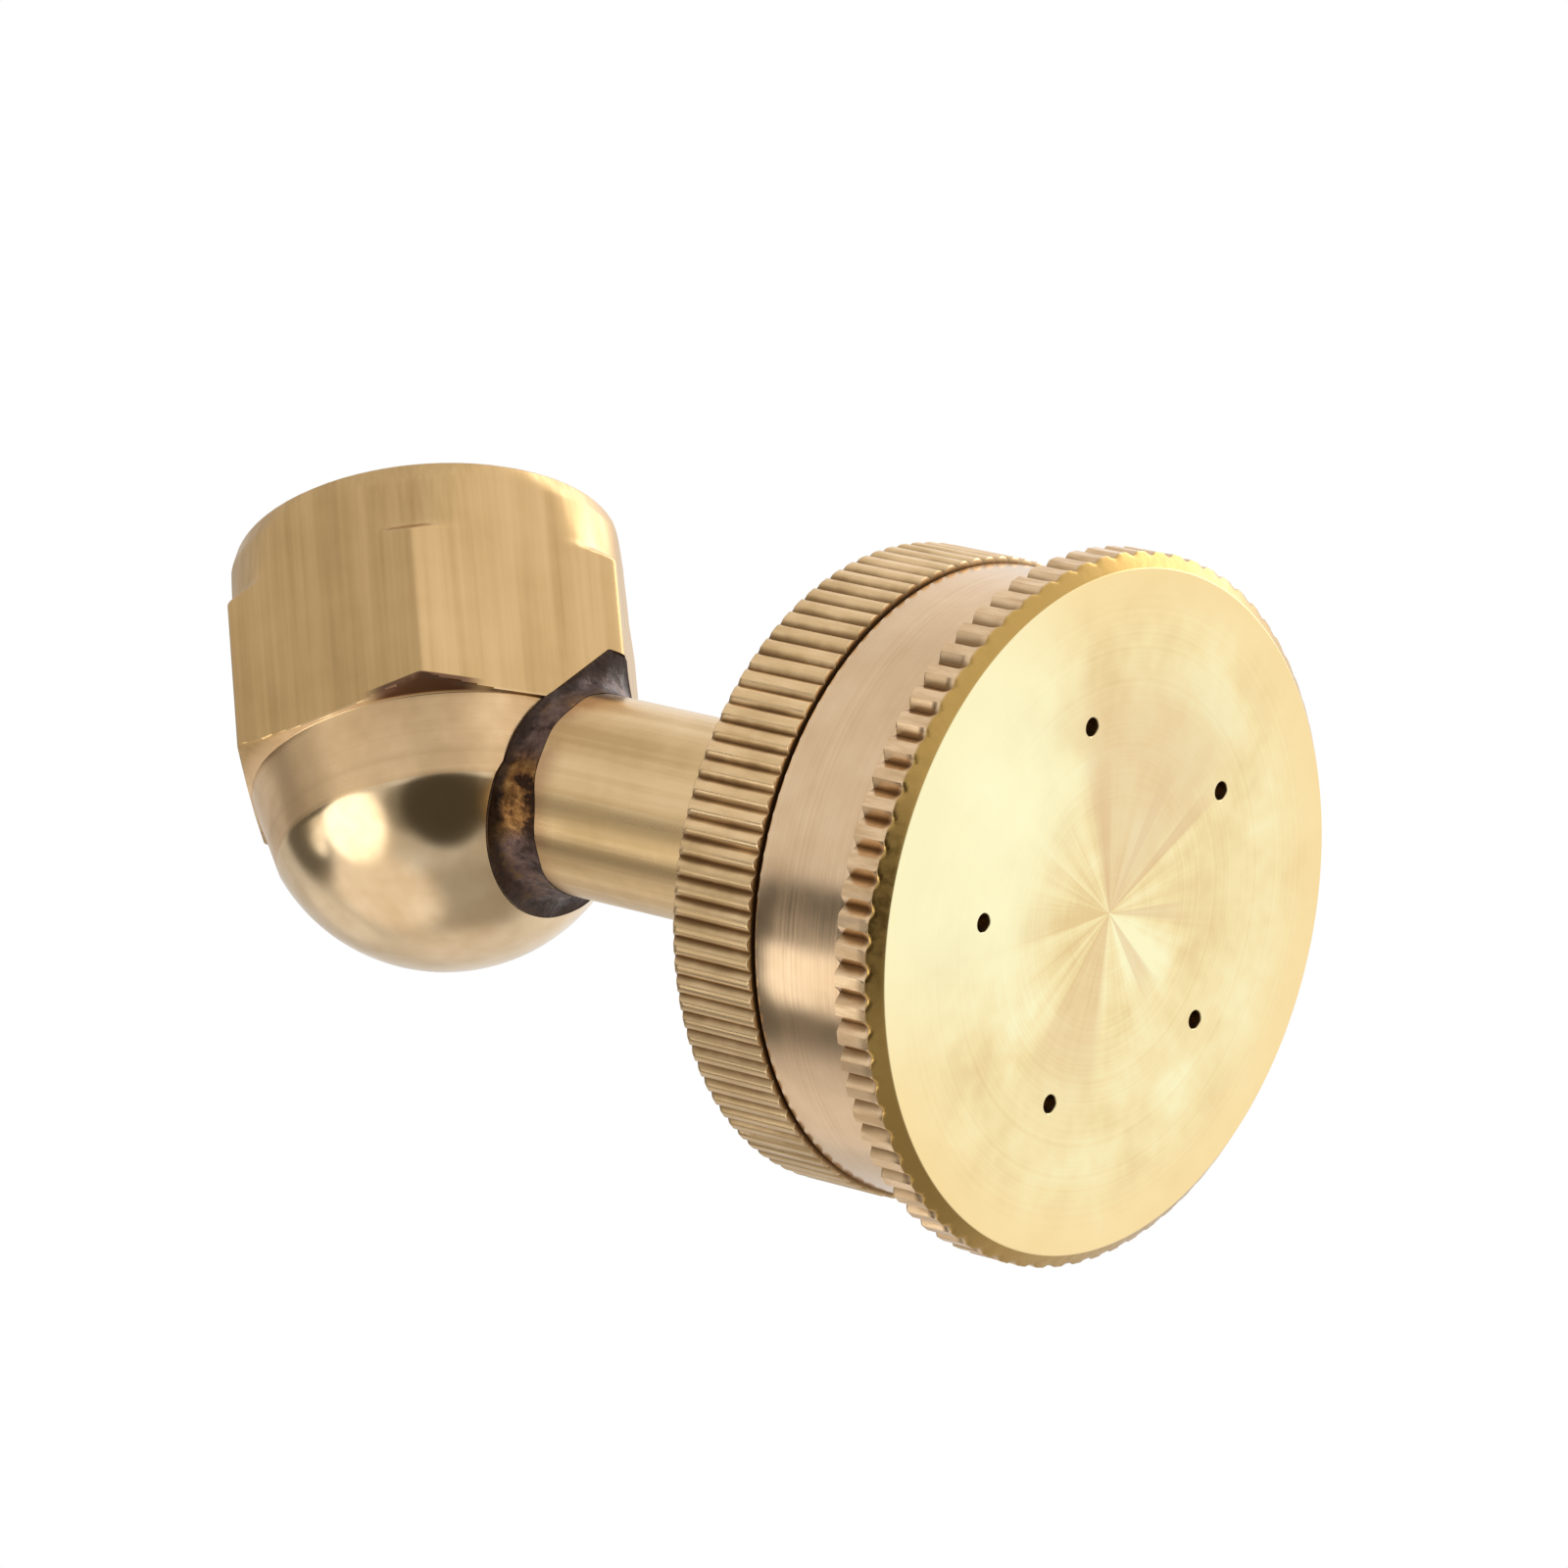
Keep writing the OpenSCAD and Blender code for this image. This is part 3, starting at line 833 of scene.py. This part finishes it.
def stem_tube():
    """Plain tube from its socket in the elbow to the inside of the housing."""
    end = HOUSING_S + HOUSING_WALL
    path = filleted([(TUBE_R - TUBE_WALL, TUBE_START_S, 0.1), (TUBE_R, TUBE_START_S, 0.1),
                     (TUBE_R, end, 0.1), (TUBE_R - TUBE_WALL, end, 0.1)])
    mesh = lathe("stem_tube_piece", divided(path, 1.5), columns=128)
    piece("stem_tube_piece", mesh, TUBE_BRASS, "head", ["stem_tube"], SPRAY_FRAME)


def housing_braze():
    """Small even bead round the tube behind the housing."""
    path = filleted([(BRAZE_BORE_R, HOUSING_S - 1.3, 0), (TUBE_R + 0.45, HOUSING_S - 0.5, 0.8),
                     (TUBE_R + 1.3, HOUSING_S - 0.02, 0), (BRAZE_BORE_R, HOUSING_S - 0.02, 0)], steps=8)
    mesh = lathe("housing_braze_piece", path, columns=120)
    piece("housing_braze_piece", mesh, BRAZE, "head", ["housing_braze"], SPRAY_FRAME)


# ---- Spray head ----


def groove_depth(columns, teeth, depth):
    """Depth below the tips for each column of a straight knurl: flat lands and rounded V grooves."""
    bottom_round = 0.1
    phase = np.abs(np.mod(angles(columns) * teeth / (2 * math.pi), 1.0) * 2 - 1)
    up = 1 - np.clip((phase - KNURL_LAND) / (1 - KNURL_LAND), 0, 1)
    return depth * (1 - np.sqrt(up**2 + bottom_round**2) + bottom_round * up) / (1 - bottom_round)


def knurled(path, columns, grooves, tip_r, runout_s=None):
    """Rings along a profile under a toothed outline, whose grooves get shallow before runout_s."""
    rings = []
    for p in path:
        depth = 1.0
        if runout_s is not None:
            depth = 1 - 0.6 * float(np.clip((p.y - runout_s + KNURL_RUNOUT) / KNURL_RUNOUT, 0, 1))
        rings.append(ring(np.minimum(p.x, tip_r - grooves * depth), p.y, columns))
    return rings


def thread_rings(low, high, columns, radius_at):
    """Rings of the cap's thread; radius_at takes its shape and a factor that fades to 0 at both ends."""
    rings = []
    for z in np.linspace(low, high, THREAD_RINGS):
        fade = float(np.clip(min(z - low, high - z) / THREAD_FADE, 0, 1))
        shape = thread_shape(z / CAP_PITCH - angles(columns) / (2 * math.pi))
        rings.append(ring(radius_at(shape, fade), z, columns))
    return rings


def spigot_thread_r(shape, fade):
    return SPIGOT_R - SPIGOT_THREAD_DEPTH * (1 - fade * (1 - shape))


def cap_thread_r(shape, fade):
    return CAP_THREAD_R - CAP_THREAD_DEPTH * fade * shape


def rear_housing():
    """Rear half of the head: back, knurled rim, threaded spigot, and the chamber inside."""
    fine, coarse = HOUSING_TEETH * 8, HOUSING_TEETH * 2
    back = [Vector((TUBE_BORE_R, HOUSING_S)), Vector((HOUSING_R - 1.6, HOUSING_S))]
    rings = [ring(p.x, p.y, coarse) for p in divided(back, 3)]
    rim = filleted([(HOUSING_R - 1.3, HOUSING_S, 0), (HOUSING_R, HOUSING_S, 0.5),
                    (HOUSING_R, SEAM_S, 0.22), (HOUSING_R - 1.2, SEAM_S, 0)], steps=5)
    grooves = groove_depth(fine, HOUSING_TEETH, HOUSING_GROOVE_DEPTH)
    rings += knurled(divided(rim, 1.2), fine, grooves, HOUSING_R)
    root_r = SPIGOT_R - SPIGOT_THREAD_DEPTH
    rings.append(ring(root_r, SEAM_S, coarse))
    rings += thread_rings(SEAM_S + 0.5, SPIGOT_S - 0.4, coarse, spigot_thread_r)
    floor_s = HOUSING_S + HOUSING_WALL
    front = filleted([(root_r, SPIGOT_S - 0.3, 0), (root_r - 0.3, SPIGOT_S, 0.1),
                      (SPIGOT_BORE_R, SPIGOT_S, 0.2), (SPIGOT_BORE_R, floor_s, 0.4),
                      (TUBE_BORE_R, floor_s, 0)])
    rings += [ring(p.x, p.y, coarse) for p in divided(front, 2)]
    mesh = skin("rear_housing_piece", rings, loop=True)
    piece("rear_housing_piece", mesh, HOUSING_BRASS, "head", ["rear_housing"],
          SPRAY_FRAME)


def drills():
    """The five drills in one mesh: a pocket for a core, its seat and a small orifice each."""
    profile = filleted([(0, CAP_BOSS_S - 1, 0), (POCKET_R, CAP_BOSS_S - 1, 0), (POCKET_R, CORE_END_S, 0),
                        (POCKET_R / 2, CORE_END_S, 0), (ORIFICE_R, CORE_END_S + 0.5, 0),
                        (ORIFICE_R, FACE_S - 0.05, 0), (ORIFICE_R + 0.1, FACE_S + 0.05, 0),
                        (0, FACE_S + 0.05, 0)])
    joined = bmesh.new()
    for k in range(ORIFICES):
        t = ORIFICE_START + k * 2 * math.pi / ORIFICES
        centre = Vector((math.cos(t), math.sin(t), 0)) * ORIFICE_CIRCLE_R
        drill = lathe("drill", profile, columns=40, loop=False)
        drill.transform(Matrix.Translation(centre))
        joined.from_mesh(drill)
    mesh = bpy.data.meshes.new("drills")
    joined.to_mesh(mesh)
    joined.free()
    return mesh


def front_cap():
    """Screw cap: face, toothed flange, plain band, thread inside, and the boss that holds the cores."""
    fine, coarse = FLANGE_TEETH * 10, FLANGE_TEETH * 2
    rings = [pole(FACE_S)] + [ring(r, FACE_S, coarse) for r in (8, 16, 19, EDGE_R - 0.35)]
    edge = filleted([(EDGE_R - 0.3, FACE_S, 0), (EDGE_R, FACE_S, 0.14),
                     (FLANGE_R, FACE_S - EDGE_T, 0.12), (FLANGE_R, FLANGE_S, 0.2),
                     (BAND_R + 0.1, FLANGE_S, 0)])
    grooves = groove_depth(fine, FLANGE_TEETH, FLANGE_GROOVE_DEPTH)
    rings += knurled(divided(edge, 0.25), fine, grooves, FLANGE_R, FACE_S - EDGE_T)
    band = filleted([(BAND_R, FLANGE_S - 0.02, 0), (BAND_R, SEAM_S + 0.2, 0.12),
                     (CAP_THREAD_R, SEAM_S + 0.2, 0)])
    rings += [ring(p.x, p.y, coarse) for p in divided(band, 2)]
    rings += thread_rings(SEAM_S + 0.4, SKIRT_S - 0.4, coarse, cap_thread_r)
    hole_end_s = CAP_BOSS_S + SCREW_HOLE_DEPTH
    inner = filleted([(CAP_THREAD_R, SKIRT_S, 0), (CAP_BOSS_R, SKIRT_S, 0.2),
                      (CAP_BOSS_R, CAP_BOSS_S, 0.3), (SCREW_HOLE_R, CAP_BOSS_S, 0.1),
                      (SCREW_HOLE_R, hole_end_s, 0.1)])
    rings += [ring(p.x, p.y, coarse) for p in divided(inner, 3)]
    rings.append(pole(hole_end_s + 0.5))
    mesh = cut_away(skin("front_cap_piece", rings), drills())
    piece("front_cap_piece", mesh, CAP_BRASS, "cap", ["front_cap"], SPRAY_FRAME)


# ---- Strainer ----

GAUZE_WIRE_R = 0.13
GAUZE_PITCH = 0.78
GAUZE_WEAVE = GAUZE_WIRE_R * 1.02
GAUZE_STEP = GAUZE_PITCH / 4
GAUZE_R = STRAINER_R - 2 * GAUZE_WIRE_R - 0.02
GAUZE_BOTTOM_Z = SEAT_Z - STRAINER_DROP + 2 * GAUZE_WIRE_R + 0.03
GAUZE_HEIGHT = SEAT_Z + 0.2 - GAUZE_BOTTOM_Z
GAUZE_WARP = 2 * round(math.pi * GAUZE_R / GAUZE_PITCH)
UP = Vector((0, 0, 1))


def wire(path, across, closed=False):
    """A round wire along a list of points; across(p) is a direction the wire doesn't run in at p."""
    rings = []
    last = len(path) - 1
    for i, p in enumerate(path):
        ahead = path[(i + 1) % len(path)] if closed or i < last else p
        behind = path[i - 1] if closed or i > 0 else p
        along = (ahead - behind).normalized()
        side = along.cross(across(p)).normalized()
        over = side.cross(along)
        rings.append([p + (side * math.cos(t) + over * math.sin(t)) * GAUZE_WIRE_R for t in angles(6)])
    if not closed:
        rings = [[path[0]]] + rings + [[path[last]]]
    return skin("wire", rings, closed)


def weave(index, t):
    """How far a wire swings over and under the ones it crosses; neighbours swing opposite ways."""
    sign = 1 if index % 2 == 0 else -1
    return sign * GAUZE_WEAVE * math.cos(math.pi * t / GAUZE_PITCH)


def bottom_wires():
    """The flat bottom: wires along X and wires along Y."""
    wires = []
    reach = GAUZE_R - GAUZE_WEAVE
    rows = int(reach / GAUZE_PITCH)
    for k in range(-rows, rows + 1):
        offset = k * GAUZE_PITCH
        half = math.sqrt(reach**2 - offset**2)
        steps = np.linspace(-half, half, max(3, round(2 * half / GAUZE_STEP)))
        along_x = [Vector((t, offset, GAUZE_BOTTOM_Z + weave(k, t))) for t in steps]
        along_y = [Vector((offset, t, GAUZE_BOTTOM_Z - weave(k, t))) for t in steps]
        wires += [wire(along_x, lambda p: UP), wire(along_y, lambda p: UP)]
    return wires


def wall_wires():
    """The round wall: upright wires and closed hoops."""
    wires = []
    for j in range(GAUZE_WARP):
        a = 2 * math.pi * j / GAUZE_WARP
        out = Vector((math.cos(a), math.sin(a), 0))
        rise = [k * GAUZE_STEP for k in range(int(GAUZE_HEIGHT / GAUZE_STEP))]
        path = [out * (GAUZE_R + weave(j, t)) + UP * (GAUZE_BOTTOM_Z + t) for t in rise]
        wires.append(wire(path, lambda p: Vector((-p.y, p.x, 0))))
    for k in range(int(GAUZE_HEIGHT / GAUZE_PITCH) + 1):
        path = []
        for a in angles(GAUZE_WARP * 4):
            r = GAUZE_R - weave(k, GAUZE_PITCH * GAUZE_WARP * a / (2 * math.pi))
            path.append(Vector((r * math.cos(a), r * math.sin(a), GAUZE_BOTTOM_Z + k * GAUZE_PITCH)))
        wires.append(wire(path, lambda p: UP, closed=True))
    return wires


def strainer_screen():
    """Woven gauze: a flat bottom and a round wall, each wire passing over and under its neighbours."""
    gauze = bmesh.new()
    for strand in bottom_wires() + wall_wires():
        gauze.from_mesh(strand)
        bpy.data.meshes.remove(strand)
    mesh = bpy.data.meshes.new("strainer_screen_piece")
    gauze.to_mesh(mesh)
    gauze.free()
    piece("strainer_screen_piece", mesh, STAINLESS, "head", ["strainer_screen"])


# ---- Inner pieces kept from the CAD model, with their own finishes ----

# The finish of the nodes, by the start of their names
CAD_FINISH = {
    "inlet_washer": FIBRE,
    "strainer_rim": STAINLESS,
    "cap_gasket": RUBBER,
    "core_retainer": STAINLESS,
    "retainer_": STAINLESS,
    "core_spring_": STAINLESS,
    "swirl_core_": CORE_BRASS,
}


def finish_cad_nodes():
    """Gives the kept CAD nodes their finishes; no node that a piece replaces is listed."""
    for name, node in frame["nodes"].items():
        for start, material in CAD_FINISH.items():
            if name.startswith(start):
                node.data.materials.clear()
                node.data.materials.append(material)


# ---- Studio ----

# Soft boxes and dark flags of the studio:
# (azimuth, elevation, inner and outer radius in degrees, brightness, tint), later ones over earlier ones
STUDIO_PATCHES = (
    (-55, 20, 42, 105, 1.12, (1, 1, 1)),
    (0, -72, 18, 40, 0.44, (1, 0.97, 0.92)),
    (150, 28, 30, 62, 0.8, (1, 0.99, 0.96)),
    (98, -52, 18, 34, 1.02, (1, 0.94, 0.88)),
    (34, -33, 8, 26, 0.8, (1, 0.95, 0.9)),
    (-178, -37, 11, 18, 0.26, (1, 0.93, 0.8)),
    (-147, -39, 24, 32, 0.07, (1, 0.86, 0.62)),
    (66, -14, 8, 16, 0.85, (1, 0.97, 0.93)),
    (104, -7, 14, 24, 0.14, (1, 0.93, 0.8)),
    (129, -5, 7, 12, 0.05, (1, 0.93, 0.8)),
    (141, -28, 19, 22.5, 2.2, (1, 0.99, 0.95)),
    (118, -14.5, 3, 7, 1.4, (1, 0.99, 0.95)),
    (111, -17.5, 3, 7, 1.4, (1, 0.99, 0.95)),
)
FILL_LEVEL = 0.66
FILL_TINT = (1, 0.985, 0.96)

CAMERA_LENS = 211.64
CAMERA_SENSOR = 36
CAMERA_HEADING = (-148.477, -26.585)
CAMERA_ROLL = math.radians(5.703)
CAMERA_DISTANCE = 0.57048
CAMERA_AIM = Vector((-2.47, -26.80, -26.14)) * MM

# The floor and the key light, in metres
FLOOR_HALF = 3.0
FLOOR_Z = -0.45
KEY_PLACE = Vector((0.5, -0.4, 0.5))
KEY_TARGET = Vector((0, -0.03, -0.03))
KEY_SIZE = 0.6
KEY_WATTS = 2.5


def heading(azimuth, elevation):
    """A unit vector from two angles in degrees."""
    a, e = math.radians(azimuth), math.radians(elevation)
    return Vector((math.cos(e) * math.cos(a), math.cos(e) * math.sin(a), math.sin(e)))


def studio_world():
    """White for the camera; soft boxes and dark flags over a dim fill for the object."""
    world = bpy.data.worlds.new("studio")
    bpy.context.scene.world = world
    world.use_nodes = True
    nodes, links = world.node_tree.nodes, world.node_tree.links
    direction = nodes.new("ShaderNodeTexCoord").outputs["Generated"]

    def along(axis):
        node = nodes.new("ShaderNodeVectorMath")
        node.operation = "DOT_PRODUCT"
        links.new(direction, node.inputs[0])
        node.inputs[1].default_value = axis
        return node.outputs["Value"]

    colour = [FILL_LEVEL * t for t in FILL_TINT]
    for azimuth, elevation, inner, outer, level, tint in STUDIO_PATCHES:
        edge, core = math.cos(math.radians(outer)), math.cos(math.radians(inner))
        mask = remap(world, along(heading(azimuth, elevation)), edge, core)
        colour = blend(world, mask, colour, [level * t for t in tint])
    background = nodes["Background"]
    links.new(colour, background.inputs["Color"])
    sweep = nodes.new("ShaderNodeBackground")
    sweep.inputs["Color"].default_value = (1, 1, 1, 1)
    mix = nodes.new("ShaderNodeMixShader")
    path = nodes.new("ShaderNodeLightPath")
    links.new(path.outputs["Is Camera Ray"], mix.inputs["Fac"])
    links.new(background.outputs["Background"], mix.inputs[1])
    links.new(sweep.outputs["Background"], mix.inputs[2])
    links.new(mix.outputs["Shader"], nodes["World Output"].inputs["Surface"])


def camera():
    """Looks up at the head from below and in front of its left side, through a long lens."""
    data = bpy.data.cameras.new("camera")
    data.lens = CAMERA_LENS
    data.sensor_width = CAMERA_SENSOR
    data.clip_start = 0.01
    back = heading(*CAMERA_HEADING)
    level = Vector((0, 0, 1)).cross(back).normalized()
    over = back.cross(level)
    up = over * math.cos(CAMERA_ROLL) + level * math.sin(CAMERA_ROLL)
    right = up.cross(back)
    place = Matrix((right, up, back)).transposed().to_4x4()
    place.translation = CAMERA_AIM + back * CAMERA_DISTANCE
    obj = bpy.data.objects.new("camera", data)
    obj.matrix_world = place
    bpy.context.scene.collection.objects.link(obj)
    bpy.context.scene.camera = obj


def floor():
    """A pale floor that catches light but isn't mirrored in the brass."""
    mesh = bpy.data.meshes.new("floor")
    corners = [(x * FLOOR_HALF, y * FLOOR_HALF, FLOOR_Z) for x, y in ((-1, -1), (1, -1), (1, 1), (-1, 1))]
    mesh.from_pydata(corners, [], [(0, 1, 2, 3)])
    obj = bpy.data.objects.new("floor", mesh)
    obj.visible_glossy = False
    bpy.context.scene.collection.objects.link(obj)
    pale = new_material("floor_white", 0.8, 0.0)
    pale.node_tree.nodes["Principled BSDF"].inputs["Base Color"].default_value = (0.85, 0.85, 0.84, 1)
    mesh.materials.append(pale)


def key_light():
    """One soft lamp above and in front."""
    data = bpy.data.lights.new("key", "AREA")
    data.shape = "RECTANGLE"
    data.size = KEY_SIZE
    data.size_y = KEY_SIZE
    data.energy = KEY_WATTS
    obj = bpy.data.objects.new("key", data)
    obj.location = KEY_PLACE
    obj.visible_camera = False
    obj.rotation_euler = (KEY_TARGET - KEY_PLACE).to_track_quat("-Z", "Y").to_euler()
    bpy.context.scene.collection.objects.link(obj)


def studio():
    bpy.context.scene.view_settings.view_transform = "Standard"
    studio_world()
    camera()
    floor()
    key_light()


elbow()
elbow_braze()
stem_tube()
housing_braze()
rear_housing()
front_cap()
strainer_screen()
finish_cad_nodes()
studio()
